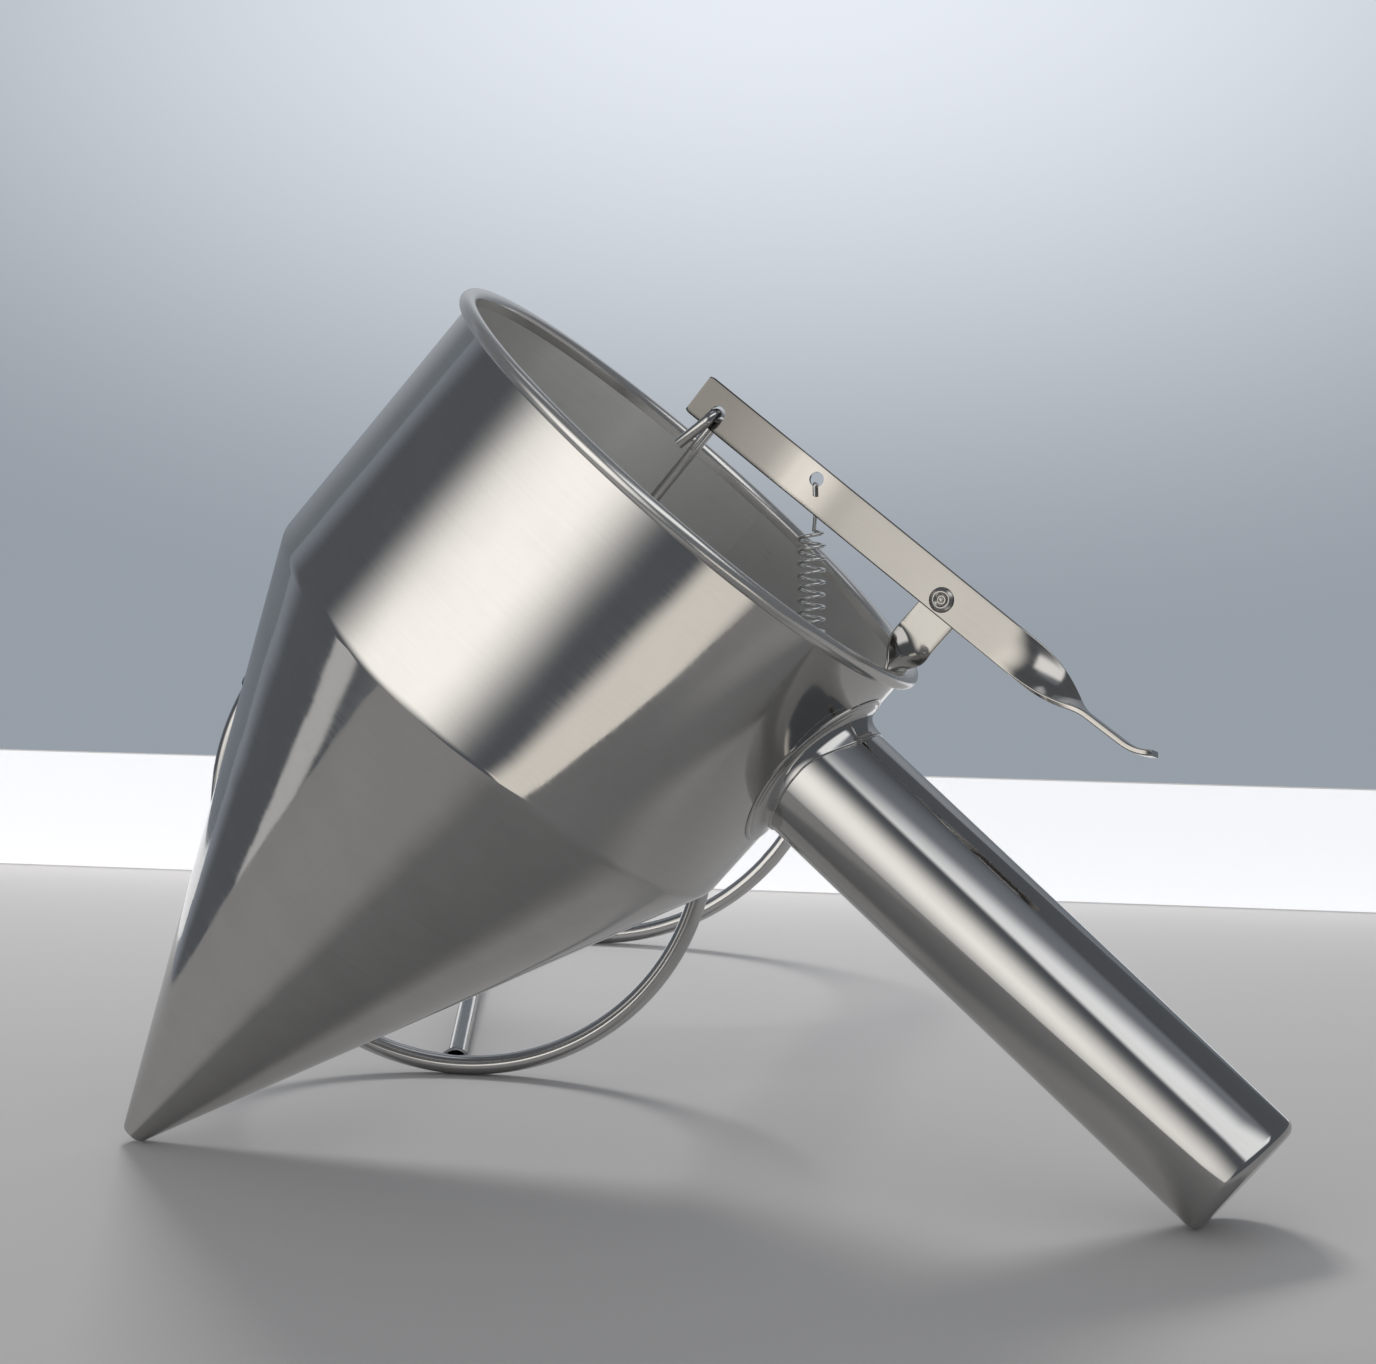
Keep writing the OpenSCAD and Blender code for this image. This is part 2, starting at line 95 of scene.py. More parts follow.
# The sheet's thickness measured level through the sloping cone
CONE_WALL = SHEET * math.sqrt(1 + CONE_SLOPE * CONE_SLOPE)
tube_low, tube_high = local_box("handle_tube", FUNNEL)
HANDLE_R = (tube_high.y - tube_low.y) / 2
HANDLE_Z = (tube_high.z + tube_low.z) / 2
HANDLE_END = local_box("handle_end_cap", FUNNEL)[1].x

# Lever: x runs along the strap from the pivot to the thumb plate, z across the strap.
# STRAP_SLOPE is in degrees, and STRAP_MID is how far the strap's middle is above the pivot
STRAP_SLOPE = 3.4
PIVOT = FUNNEL.inverted() @ Vector(joints["lever_pivot"]["pos_m"])
HOOK = FUNNEL.inverted() @ Vector(joints["rod_hinge"]["pos_m"])
LEVER = FUNNEL @ Matrix.Translation(PIVOT) @ Matrix.Rotation(math.radians(-STRAP_SLOPE), 4, "Y")
STRAP_W = 11.0
STRAP_T = 1.5
STRAP_MID = 1.67
STRAP_FRONT = 82.0
ROD_HOLE = Vector((-74.6, 0, 0.5))
ROD_HOLE_R = 2.1
SPRING_HOLE = Vector((-43.9, 0, 3.6))
SPRING_HOLE_R = 1.9

# ---- Mesh helpers: lengths in millimetres, UVs in centimetres of surface ----


def add(name, data):
    """Puts an object with this data in the scene."""
    obj = bpy.data.objects.new(name, data)
    bpy.context.scene.collection.objects.link(obj)
    return obj


def finish_mesh(name, verts, faces, uvs, matrix, body, materials, sharp=35.0, face_slots=None):
    """Makes the object, shades it smooth between its sharp edges and lets it ride on its body."""
    mesh = bpy.data.meshes.new(name)
    mesh.from_pydata([matrix @ Vector(v) for v in verts], [], faces)
    layer = mesh.uv_layers.new(name="UVMap")
    layer.data.foreach_set("uv", [c for uv in uvs for c in uv])
    for m in materials:
        mesh.materials.append(m)
    if face_slots:
        mesh.polygons.foreach_set("material_index", face_slots)
    obj = add(name, mesh)
    shade(obj, sharp)
    if body:
        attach(obj, body)
    return obj


def shade(obj, sharp):
    """Turns the faces outwards and shades them smooth, with edges sharper than the angle kept sharp."""
    bm = bmesh.new()
    bm.from_mesh(obj.data)
    bmesh.ops.recalc_face_normals(bm, faces=bm.faces)
    for f in bm.faces:
        f.smooth = True
    for e in bm.edges:
        e.smooth = len(e.link_faces) < 2 or e.calc_face_angle(0) < math.radians(sharp)
    bm.to_mesh(obj.data)
    bm.free()


def grid_faces(rows, cols, close_rows=False):
    """Quads of a grid of points, stored row by row. The columns always close into a ring."""
    out = []
    for i in range(rows if close_rows else rows - 1):
        for k in range(cols):
            a, b = i * cols, (i + 1) % rows * cols
            m = (k + 1) % cols
            out.append((a + k, a + m, b + m, b + k))
    return out


def lengths(points):
    """Distance along a line to each of its points."""
    out = [0.0]
    for a, b in zip(points, points[1:]):
        out.append(out[-1] + (Vector(b) - Vector(a)).length)
    return out


def quad_uvs(u0, u1, v0, v1):
    """UVs of one quad, in centimetres, from its sides in millimetres."""
    return [(u / 10, v / 10) for u, v in ((u0, v0), (u1, v0), (u1, v1), (u0, v1))]


def grid_uvs(along, around):
    """UVs for grid_faces: along has a length for each row, around one for each column and the end."""
    out = []
    for v0, v1 in zip(along, along[1:]):
        for u0, u1 in zip(around, around[1:]):
            out += quad_uvs(u0, u1, v0, v1)
    return out


def smoothstep(a, b, x):
    """Eases from 0 at a to 1 at b."""
    t = min(1, max(0, (x - a) / (b - a)))
    return t * t * (3 - 2 * t)


def fillet(points, radii, steps):
    """A flat line with its corners rounded by arcs, each of so many steps.

    radii has one number for each point. A point with 0 stays sharp, and so do both ends.
    """
    pts = [Vector(p) for p in points]
    out = [pts[0]]
    for i in range(1, len(pts) - 1):
        p, r = pts[i], radii[i]
        a, b = (pts[i - 1] - p).normalized(), (pts[i + 1] - p).normalized()
        angle = a.angle(b)
        if r == 0 or abs(angle - math.pi) < 1e-4:
            out.append(p)
            continue
        back = r / math.tan(angle / 2)
        start, end = p + a * back, p + b * back
        centre = p + (a + b).normalized() * (r / math.sin(angle / 2))
        for k in range(steps + 1):
            t = k / steps
            q = (start - centre).normalized().slerp((end - centre).normalized(), t)
            out.append(centre + q * r)
    out.append(pts[-1])
    return out


def subdivide(points, longest):
    """The same line with extra points, so that no step is longer than given."""
    out = [points[0]]
    for a, b in zip(points, points[1:]):
        n = max(1, math.ceil((b - a).length / longest))
        out += [a.lerp(b, k / n) for k in range(1, n + 1)]
    return out


def lathe(name, profile, matrix, body, materials, sides, sharp=35.0, start=0.0, slots=None,
          shape=None):
    """Turns a profile of (radius, height) points about z, from the angle start.

    slots gives a material index for each point of the profile, and shape may move each vertex.
    """
    profile = [Vector(p) for p in profile]
    along = lengths(profile)
    verts, uvs, face_slots = [], [], []
    for r, z in profile:
        for k in range(sides):
            a = start + 2 * math.pi * k / sides
            p = Vector((r * math.cos(a), r * math.sin(a), z))
            verts.append(shape(p) if shape else p)
    for i in range(len(profile) - 1):
        reach = max(profile[i].x, profile[i + 1].x, 0.5) * 2 * math.pi / sides
        for k in range(sides):
            uvs += quad_uvs(k * reach, (k + 1) * reach, along[i], along[i + 1])
            face_slots.append(slots[i] if slots else 0)
    faces = grid_faces(len(profile), sides)
    obj = finish_mesh(name, verts, faces, uvs, matrix, None, materials, sharp, face_slots)
    merge_distance = 0.002 * MM
    merge(obj, merge_distance)
    shade(obj, sharp)
    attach(obj, body)
    return obj


def turned(name, profile, matrix, body, material, sides=64, sharp=40, shape=None):
    """A small turned piece of one material."""
    return lathe(name, profile, matrix, body, [material], sides=sides, sharp=sharp, shape=shape)


def merge(obj, distance):
    """Joins vertices that are closer than the distance, such as a profile's points on the axis."""
    bm = bmesh.new()
    bm.from_mesh(obj.data)
    bmesh.ops.remove_doubles(bm, verts=bm.verts, dist=distance)
    bmesh.ops.dissolve_degenerate(bm, edges=bm.edges, dist=distance)
    bm.to_mesh(obj.data)
    bm.free()


def wire_mesh(path, radius, sides, closed=False, radius_at=None):
    """A round wire along a path, with frames carried along it so that it never twists.

    radius_at scales the radius by the place along the path, from 0 to 1.
    """
    path = [Vector(p) for p in path]
    n = len(path)
    ways = []
    for i in range(n):
        a = path[i - 1] if i > 0 or closed else path[i]
        b = path[(i + 1) % n] if i < n - 1 or closed else path[i]
        ways.append((b - a).normalized())
    any_way = Vector((0.31, 0.52, 0.79))
    side = ways[0].cross(any_way).normalized()
    verts = []
    for i in range(n):
        side = (side - ways[i] * side.dot(ways[i])).normalized()
        other = ways[i].cross(side)
        r = radius_at(i / (n - 1)) * radius if radius_at else radius
        for k in range(sides):
            a = 2 * math.pi * k / sides
            verts.append(path[i] + side * (r * math.cos(a)) + other * (r * math.sin(a)))
    along = lengths(path + ([path[0]] if closed else []))
    around = [2 * math.pi * radius * k / sides for k in range(sides + 1)]
    faces = grid_faces(n, sides, close_rows=closed)
    uvs = grid_uvs(along, around)
    if not closed:
        faces += [tuple(range(sides))[::-1], tuple((n - 1) * sides + k for k in range(sides))]
        uvs += [(u / 10, v / 10) for v in (0, along[-1]) for u in around[:-1]]
    return verts, faces, uvs


def smooth_path(points, step):
    """A Catmull-Rom curve through the points, sampled about every step."""
    pts = [Vector(p) for p in points]
    pts = [2 * pts[0] - pts[1]] + pts + [2 * pts[-1] - pts[-2]]
    out = []
    for a, b, c, d in zip(pts, pts[1:], pts[2:], pts[3:]):
        n = max(2, math.ceil((c - b).length / step))
        for k in range(n):
            t = k / n
            out.append(0.5 * (2 * b + (c - a) * t + (2 * a - 5 * b + 4 * c - d) * t * t
                              + (3 * b - a - 3 * c + d) * t ** 3))
    return out + [pts[-2]]


def strip_mesh(stations, width, thickness, round_r=0.35):
    """A flat strip with rounded edges, closed at both ends.

    Each station is (centre, width direction, thickness direction, width scale).
    """
    flat = width / 2 - round_r
    section = []
    for cx, cy, a0 in ((1, 1, 0), (-1, 1, 90), (-1, -1, 180), (1, -1, 270)):
        for k in range(4):
            a = math.radians(a0 + 30 * k)
            section.append((cx * flat + round_r * math.cos(a),
                            cy * (thickness / 2 - round_r) + round_r * math.sin(a)))
        # Points across the wide faces, so that a twist shades as one smooth surface
        if cx == cy:
            section += [(cx * flat * (1 - k / 5), cy * thickness / 2) for k in range(1, 10)]
    cols = len(section)
    around = [0.0]
    for a, b in zip(section, section[1:] + section[:1]):
        around.append(around[-1] + math.hypot(b[0] - a[0], b[1] - a[1]))
    verts = [centre + w * (x * k) + t * y for centre, w, t, k in stations for x, y in section]
    faces = grid_faces(len(stations), cols)
    uvs = grid_uvs(lengths([s[0] for s in stations]), around)
    last = (len(stations) - 1) * cols
    faces += [tuple(range(cols))[::-1], tuple(last + k for k in range(cols))]
    uvs += [(x / 10, y / 10) for x, y in section[::-1] + section]
    return verts, faces, uvs


def cut_holes(obj, matrix, holes):
    """Cuts round holes along y of a frame. Each hole is (centre, radius)."""
    depth = 20
    for centre, r in holes:
        bm = bmesh.new()
        bmesh.ops.create_cone(bm, cap_ends=True, segments=40, radius1=r, radius2=r, depth=depth)
        mesh = bpy.data.meshes.new("cutter")
        bm.to_mesh(mesh)
        bm.free()
        mesh.transform(matrix @ Matrix.Translation(centre) @ Matrix.Rotation(math.pi / 2, 4, "X"))
        cutter = add("cutter", mesh)
        mod = obj.modifiers.new("hole", "BOOLEAN")
        mod.object = cutter
        mod.solver = "EXACT"
        mod.operation = "DIFFERENCE"
        bpy.context.view_layer.objects.active = obj
        with bpy.context.temp_override(object=obj, active_object=obj):
            bpy.ops.object.modifier_apply(modifier=mod.name)
        bpy.data.objects.remove(cutter)


def even_normals(obj):
    """Shades wide faces flat and leaves the bending to the rounded edges."""
    mod = obj.modifiers.new("normals", "WEIGHTED_NORMAL")
    mod.keep_sharp = True
    mod.weight = 90


# ---- Materials: colours are linear, depths in metres ----


class Nodes:
    """Short ways to add nodes to a material or the world."""

    def __init__(self, owner):
        owner.use_nodes = True
        self.nodes, self.links = owner.node_tree.nodes, owner.node_tree.links

    def node(self, kind, **settings):
        n = self.nodes.new("ShaderNode" + kind)
        for key, value in settings.items():
            setattr(n, key, value)
        return n

    def feed(self, socket, value):
        """Links another node's output to a socket, or sets a plain value on it."""
        if isinstance(value, bpy.types.NodeSocket):
            self.links.new(value, socket)
        else:
            socket.default_value = value

    def maths(self, op, *values):
        n = self.node("Math", operation=op)
        for socket, value in zip(n.inputs, values):
            self.feed(socket, value)
        return n.outputs[0]

    def vectors(self, op, *values):
        n = self.node("VectorMath", operation=op)
        for socket, value in zip(n.inputs, values):
            self.feed(socket, value)
        return n.outputs["Value" if op in ("DOT_PRODUCT", "LENGTH") else "Vector"]

    def map_range(self, value, start, end, low, high, easing="LINEAR"):
        """Takes start to low and end to high."""
        n = self.node("MapRange", interpolation_type=easing)
        names = ("Value", "From Min", "From Max", "To Min", "To Max")
        for name, v in zip(names, (value, start, end, low, high)):
            self.feed(n.inputs[name], v)
        return n.outputs[0]

    def mix(self, factor, a, b, blend="MIX"):
        n = self.node("Mix", data_type="RGBA", blend_type=blend)
        for name, value in (("Factor", factor), ("A", a), ("B", b)):
            self.feed(n.inputs[name], value)
        return n.outputs["Result"]

    def one_sided(self, surface):
        """Sends the surface to the output, clear where it is seen from behind."""
        mix, clear, geometry = (self.node(kind) for kind in ("MixShader", "BsdfTransparent", "NewGeometry"))
        for socket, value in zip(mix.inputs, (geometry.outputs["Backfacing"], surface, clear.outputs[0])):
            self.links.new(value, socket)
        self.links.new(mix.outputs[0], self.nodes["Material Output"].inputs[0])


def steel(name, colour, rough, waves, grain, grain_depth, wave_size=2.6, rough_spread=0.05, tint=0.06,
          scratches=0.0, wear=0.0, metallic=1.0, painted_light_stops=(), painted_light_axis="Y"):
    """Stainless steel: sheet waves, fine polishing lines along u or v, smudges, scratches, worn edges.

    The tone stops paint light and shade into the colour: slow changes of tone along v (Y) or u (X), each a place
    in centimetres and a brightness.
    """
    m = bpy.data.materials.new(name)
    s = Nodes(m)
    shader = s.nodes["Principled BSDF"]
    shader.inputs["Metallic"].default_value = metallic
    uv = s.node("TexCoord").outputs["UV"]

    def stretched(scale, detail):
        """Noise with its own scale, per centimetre, along u and v."""
        mapping = s.node("Mapping")
        mapping.inputs["Scale"].default_value = (*scale, 1.0)
        s.links.new(uv, mapping.inputs["Vector"])
        texture = s.node("TexNoise")
        for key, value in (("Vector", mapping.outputs[0]), ("Scale", 1.0), ("Detail", detail),
                           ("Roughness", 0.6)):
            s.feed(texture.inputs[key], value)
        return texture.outputs["Fac"]

    def spread(value, low, high, start=0.3, end=0.7):
        """The part of a noise between start and end, taken to low and high."""
        return s.map_range(value, start, end, low, high)

    def bump(height, depth, normal=None):
        n = s.node("Bump")
        n.inputs["Strength"].default_value = 1.0
        n.inputs["Distance"].default_value = depth
        s.links.new(height, n.inputs["Height"])
        if normal:
            s.links.new(normal, n.inputs["Normal"])
        return n.outputs[0]

    lines = stretched(grain, 2)
    smudge = stretched((0.5, 0.35), 3)
    wave = stretched((1 / wave_size, 0.55 / wave_size), 1)
    uneven = s.maths("ADD", spread(lines, -rough_spread / 2, rough_spread / 2),
                     spread(smudge, 0, rough_spread))
    roughness = s.maths("ADD", uneven, rough)
    low = [c * (1 - tint) for c in colour] + [1]
    high = [min(1, c * (1 + tint / 2)) for c in colour] + [1]
    patches = s.maths("ADD", s.maths("MULTIPLY", lines, 0.35), s.maths("MULTIPLY", smudge, 0.65))
    base = s.mix(spread(patches, 0, 1), low, high)
    normal = bump(lines, grain_depth, bump(wave, waves))
    if scratches:
        along = spread(stretched((0.35, 22.0), 3), 0, 1, 0.66, 0.72)
        across = spread(stretched((9.0, 0.8), 3), 0, 1, 0.68, 0.74)
        marks = s.maths("MAXIMUM", along, across)
        normal = bump(marks, -scratches, normal)
        roughness = s.maths("ADD", roughness, s.maths("MULTIPLY", marks, 0.12))
    # Painted light and shade: a ramp of tone stops that multiplies the colour along the surface
    if painted_light_stops:
        split = s.node("SeparateXYZ")
        s.links.new(uv, split.inputs[0])
        ramp = s.node("ValToRGB")
        ramp.color_ramp.interpolation = "B_SPLINE"
        stops = ramp.color_ramp.elements
        end = painted_light_stops[-1][0]
        for place, value in painted_light_stops:
            stop = stops[0] if place == 0 else stops[-1] if place == end else stops.new(place / end)
            stop.color = (value, value, value, 1)
        s.links.new(s.maths("DIVIDE", split.outputs[painted_light_axis], end), ramp.inputs["Fac"])
        base = s.mix(1.0, base, ramp.outputs["Color"], "MULTIPLY")
    if wear:
        edge = spread(s.node("NewGeometry").outputs["Pointiness"], 0, wear, 0.52, 0.62)
        base = s.mix(edge, base, (0.3, 0.3, 0.3, 1), "ADD")
    for key, value in (("Base Color", base), ("Roughness", roughness), ("Normal", normal)):
        s.links.new(value, shader.inputs[key])
    return m


POLISHED = steel("polished_steel", (0.60, 0.59, 0.575), 0.055, waves=0.00022, wave_size=2.8,
                 grain=(0.5, 9.0), grain_depth=0.0000012, rough_spread=0.04)
HANDLE = steel("handle_steel", (0.53, 0.525, 0.515), 0.06, waves=0.00005, wave_size=2.0, grain=(7.0, 0.25),
               grain_depth=0.0000012, rough_spread=0.03)
# The inside wall's tone stops are painted light and shade, lighter in one stretch and darker in others, and run
# once round the mouth
INSIDE_PAINTED_LIGHT = steel("inside_steel_painted_light", (0.92, 0.91, 0.89), 0.3, waves=0.0001, grain=(0.4, 12.0),
               grain_depth=0.000003, rough_spread=0.1, tint=0.08, scratches=0.000006, metallic=0.4,
               painted_light_stops=((0, 0.56), (2.8, 0.72), (4.8, 1.1), (6.5, 1.2), (8.5, 0.85), (11.3, 0.62),
                      (15.0, 0.8), (30.0, 0.8), (37.0, 0.52), (45.24, 0.56)), painted_light_axis="X")
BEAD = steel("bead_steel", (0.72, 0.71, 0.69), 0.16, waves=0.00006, wave_size=2.0, grain=(0.6, 14.0),
             grain_depth=0.0000015, rough_spread=0.08, tint=0.08, wear=0.1, metallic=0.85)
SATIN = steel("satin_steel", (0.44, 0.425, 0.4), 0.11, waves=0.00006, wave_size=1.4, grain=(8.0, 0.3),
              grain_depth=0.0000002, rough_spread=0.05, tint=0.08, wear=0.15)
# The lever's tone stops are painted light and shade: painted shade at the front end, a painted highlight by the
# spring's hole, and lighter over the twist and the thumb plate. They run from its front end, over the pivot and
# the twist, to the thumb plate
LEVER_STEEL_PAINTED_LIGHT = steel("lever_steel_painted_light", (0.52, 0.50, 0.47), 0.11, waves=0.00006, wave_size=1.4, grain=(8.0, 0.3),
                    grain_depth=0.0000002, rough_spread=0.05, tint=0.08, wear=0.15,
                    painted_light_stops=((0, 0.34), (0.9, 0.34), (1.7, 0.42), (2.5, 0.46), (3.0, 0.8), (3.3, 1.15),
                           (3.7, 0.95), (4.2, 0.86), (4.6, 0.52), (5.2, 0.66), (7.0, 0.7), (8.6, 0.76),
                           (10.0, 0.7), (11.0, 1.1), (14.7, 1.1)))
RIVET = steel("rivet_steel", (0.52, 0.505, 0.48), 0.24, waves=0.00001, wave_size=0.3, grain=(2.0, 6.0),
              grain_depth=0.0000004, rough_spread=0.08, tint=0.12)
WIRE = steel("wire_steel", (0.58, 0.575, 0.565), 0.1, waves=0.00003, wave_size=0.8, grain=(8.0, 0.4),
             grain_depth=0.000002, rough_spread=0.06, tint=0.1, scratches=0.000006)
SPRING = steel("spring_steel", (0.8, 0.795, 0.78), 0.2, waves=0.00001, wave_size=0.5, grain=(6.0, 0.5),
               grain_depth=0.000001)
WELD = steel("weld_steel", (0.48, 0.47, 0.46), 0.26, waves=0.00012, wave_size=0.12, grain=(9.0, 9.0),
             grain_depth=0.00002, rough_spread=0.15, tint=0.25)

# ---- Funnel body ----

# The wall and the bead start, and have the seam of their UVs, at the back, away from the camera
BACK = math.pi / 2
WALL_TOP = RIM_Z - BEAD_R


def funnel_wall():
    """The drum and cone in one sheet: outside up from the nozzle, over the top and back down inside."""
    lip, fold_round = 0.3, 7.0
    outer = fillet([(NOZZLE_R - lip, 0), (NOZZLE_R, 0.35), (FOLD_R, FOLD_Z), (DRUM_R, WALL_TOP)],
                   [0, 0.2, fold_round, 0], 12)
    inner_fold = (FOLD_R - SHEET, FOLD_Z + (SHEET - CONE_WALL) / CONE_SLOPE)
    inside = fillet([(DRUM_R - SHEET, WALL_TOP), inner_fold, (NOZZLE_R - CONE_WALL, 0.4),
                     (NOZZLE_R - lip, 0)], [0, 1.8, 0.2, 0], 8)
    outer = subdivide(outer, 6)
    inside = subdivide(inside, 6)
    slots = [0] * len(outer) + [1] * len(inside)
    obj = lathe("funnel_wall", outer + inside, FUNNEL, "funnel", [POLISHED, INSIDE_PAINTED_LIGHT],
                sides=256, start=BACK, slots=slots)
    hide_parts("drum_shell", "cone_shell")


def rim_bead():
    """The rolled bead: most of a circle, and an end that tucks down inside the wall."""
    centre = Vector((RIM_R - BEAD_R, WALL_TOP))
    first, sweep, steps = -165, 345, 24
    profile = []
    for k in range(steps + 1):
        a = math.radians(first + sweep * k / steps)
        profile.append(centre + Vector((math.cos(a), math.sin(a))) * BEAD_R)
    profile.append(Vector((DRUM_R - SHEET + 0.02, WALL_TOP - 2.5)))
    obj = lathe("rim_bead", profile[::-1], FUNNEL, "funnel", [BEAD], sides=256,
                start=BACK, sharp=60)
    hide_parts("rolled_rim")


# ---- Handle ----

COLLAR_HALF_H = 24.0
COLLAR_HALF_W = 21.0
# The neck ends this far out along x at the sides, and further at the top and the bottom
NECK_X = 72.4
NECK_X_TOP = 5.4
NECK_X_BOTTOM = 1.5
NECK_R = HANDLE_R + 0.45
ALONG_HANDLE = FUNNEL @ Matrix.Translation((0, 0, HANDLE_Z)) @ Matrix.Rotation(math.pi / 2, 4, "Y")


def on_drum(y, z, lift):
    """Point on the drum's outside at that y and height, raised by lift."""
    r = DRUM_R - (RIM_Z - z) / (RIM_Z - FOLD_Z) * (DRUM_R - FOLD_R)
    out = Vector((math.sqrt(r * r - y * y), y, 0)).normalized()
    return out * (r + lift) + Vector((0, 0, z))


def handle_collar():
    """Saddle collar: a welded edge with a second fine line inside it, then a curve up to the tube."""
    sides, curve = 192, 16
    # The edge as (share of the collar's size, lift off the drum), the lip as (step along the tube, growth)
    edge = [(1.0, -0.2), (1.0, 0.22), (0.985, 0.42), (0.962, 0.45), (0.95, 0.3), (0.938, 0.3), (0.925, 0.5)]
    lip = [(0.0, 0.0), (0.25, -0.04), (0.4, -0.22), (0.4, -0.7)]
    rows = len(edge) + curve + len(lip)
    verts = []
    for i in range(rows):
        for k in range(sides):
            a = 2 * math.pi * k / sides
            c, s = math.cos(a), math.sin(a)
            neck_x = NECK_X + NECK_X_TOP * smoothstep(0.05, 1.1, s) + NECK_X_BOTTOM * smoothstep(0.1, 1.1, -s)
            end = Vector((neck_x, NECK_R * c, HANDLE_Z + NECK_R * s))
            size, lift = edge[min(i, len(edge) - 1)]
            start = on_drum(COLLAR_HALF_W * c * size, HANDLE_Z + COLLAR_HALF_H * s * size, lift)
            if i < len(edge):
                p = start
            elif i < len(edge) + curve:
                t = (i - len(edge) + 1) / curve
                foot = on_drum(NECK_R * c, HANDLE_Z + NECK_R * s, lift)
                p = start * (1 - t) ** 2 + foot * (2 * t * (1 - t)) + end * t * t
            else:
                step, growth = lip[i - len(edge) - curve]
                p = end + Vector((step, growth * c, growth * s))
            verts.append(p)
    along = [i * 0.7 for i in range(rows)]
    around = [2 * math.pi * NECK_R * k / sides for k in range(sides + 1)]
    obj = finish_mesh("collar", verts, grid_faces(rows, sides), grid_uvs(along, around), FUNNEL, "funnel",
                      [HANDLE], sharp=50)
    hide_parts("handle_collar")


def handle_tube():
    """The tube's skin and its pressed end, from inside the drum wall to the centre of the cap."""
    start, tube_wall, edge_round, dish = DRUM_R - 6, 0.8, 3.0, 0.5
    profile = fillet([(HANDLE_R - tube_wall, start), (HANDLE_R, start), (HANDLE_R, HANDLE_END),
                      (HANDLE_R - 5, HANDLE_END), (0.001, HANDLE_END - dish)], [0, 0, edge_round, 6, 0], 10)
    obj = lathe("handle_tube_skin", subdivide(profile, 7), ALONG_HANDLE, "funnel",
                [HANDLE], sides=160, start=math.pi)
    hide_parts("handle_tube", "handle_end_cap")


# ---- Lever: lengths along the strap from the pivot, the twist in degrees ----

TWIST_START = 19.0
TWIST_END = 44.0
PLATE_END = 64.6
FULL_TWIST = 93.0
CURL_R = 12.0
CURL_LENGTH = 7.4


def even_turn(a, b, soft, x):
    """Rises evenly from 0 at a to 1 at b, with both corners softened."""
    shifts = [soft * (k / 4 - 1) for k in range(9)]
    return sum(min(1, max(0, (x + d - a) / (b - a))) for d in shifts) / len(shifts)


def plate_height(x):
    """Height of the strip's middle above the pivot line, along the strap."""
    drop = 1.15 * smoothstep(TWIST_START + 6, TWIST_END + 1, x)
    past = max(0, x - (PLATE_END - CURL_LENGTH))
    curl = CURL_R - math.sqrt(CURL_R ** 2 - past ** 2)
    return STRAP_MID - drop + curl + 0.03 * max(0, x - TWIST_END)


def strap_way(x):
    """Direction along the strip, from its height a little before and after x."""
    h = 0.05
    here, before = plate_height(x), plate_height(x - h)
    rise = plate_height(x + h) - before if x < PLATE_END - h else 2 * (here - before)
    return Vector((2 * h, 0, rise)).normalized()


def lever_strap():
    """The strap on edge, its quarter turn and the thumb plate with a curled end, with two holes."""
    side = Vector((0, 1, 0))
    end_length, end_cut = 1.2, 0.06
    steps = 230
    stations = []
    for i in range(steps + 1):
        x = -STRAP_FRONT + (STRAP_FRONT + PLATE_END) * i / steps
        way = strap_way(x)
        turn = math.radians(FULL_TWIST) * even_turn(TWIST_START, TWIST_END, 2, x) ** 1.5
        up = way.cross(side).normalized()
        w = up * math.cos(turn) + side * math.sin(turn)
        t = way.cross(w).normalized()
        end_round = 1.0
        for depth in (x + STRAP_FRONT, PLATE_END - x):
            if depth < end_length:
                end_round = min(end_round, 1 - end_cut * (1 - depth / end_length) ** 2)
        # A shallow bow where the spring's hole was punched, and a slight lean at the front end
        bow = 0.28 * math.exp(-((x - SPRING_HOLE.x + 2) / 5.5) ** 2) + 0.12 * smoothstep(-58, -82, x)
        stations.append((Vector((x, bow, plate_height(x))), w, t, end_round))
    verts, faces, uvs = strip_mesh(stations, STRAP_W, STRAP_T)
    obj = finish_mesh("lever_strap", verts, faces, uvs, LEVER, None, [LEVER_STEEL_PAINTED_LIGHT])
    cut_holes(obj, LEVER, [(ROD_HOLE, ROD_HOLE_R), (SPRING_HOLE, SPRING_HOLE_R)])
    shade(obj, 38)
    even_normals(obj)
    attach(obj, "lever")
    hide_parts("lever")


# ---- Bracket, rivets and washers ----

BRACKET_T = 1.2
WASHER_T = 0.6
WASHER_GAP = 0.3
TAB_X = 68.2
TAB_Y = STRAP_T / 2 + WASHER_GAP + WASHER_T + BRACKET_T / 2
# The tab ends this far above the rim, and the foot and the ear are this far below it
TAB_TOP = 24.1
FOOT_DEPTH = 36
EAR_DEPTH = 31
# The foot lies against the drum's inside: x of its back and of its face
FOOT_BACK = math.sqrt((FOLD_R - SHEET) ** 2 - (STRAP_W / 2) ** 2) - 0.15
FOOT_FACE = FOOT_BACK - BRACKET_T


def round_end(depth, reach):
    """Width of a round end at a depth from its tip, as a share of its full width at reach."""
    return math.sqrt(max(0, 1 - (1 - depth / reach) ** 2))


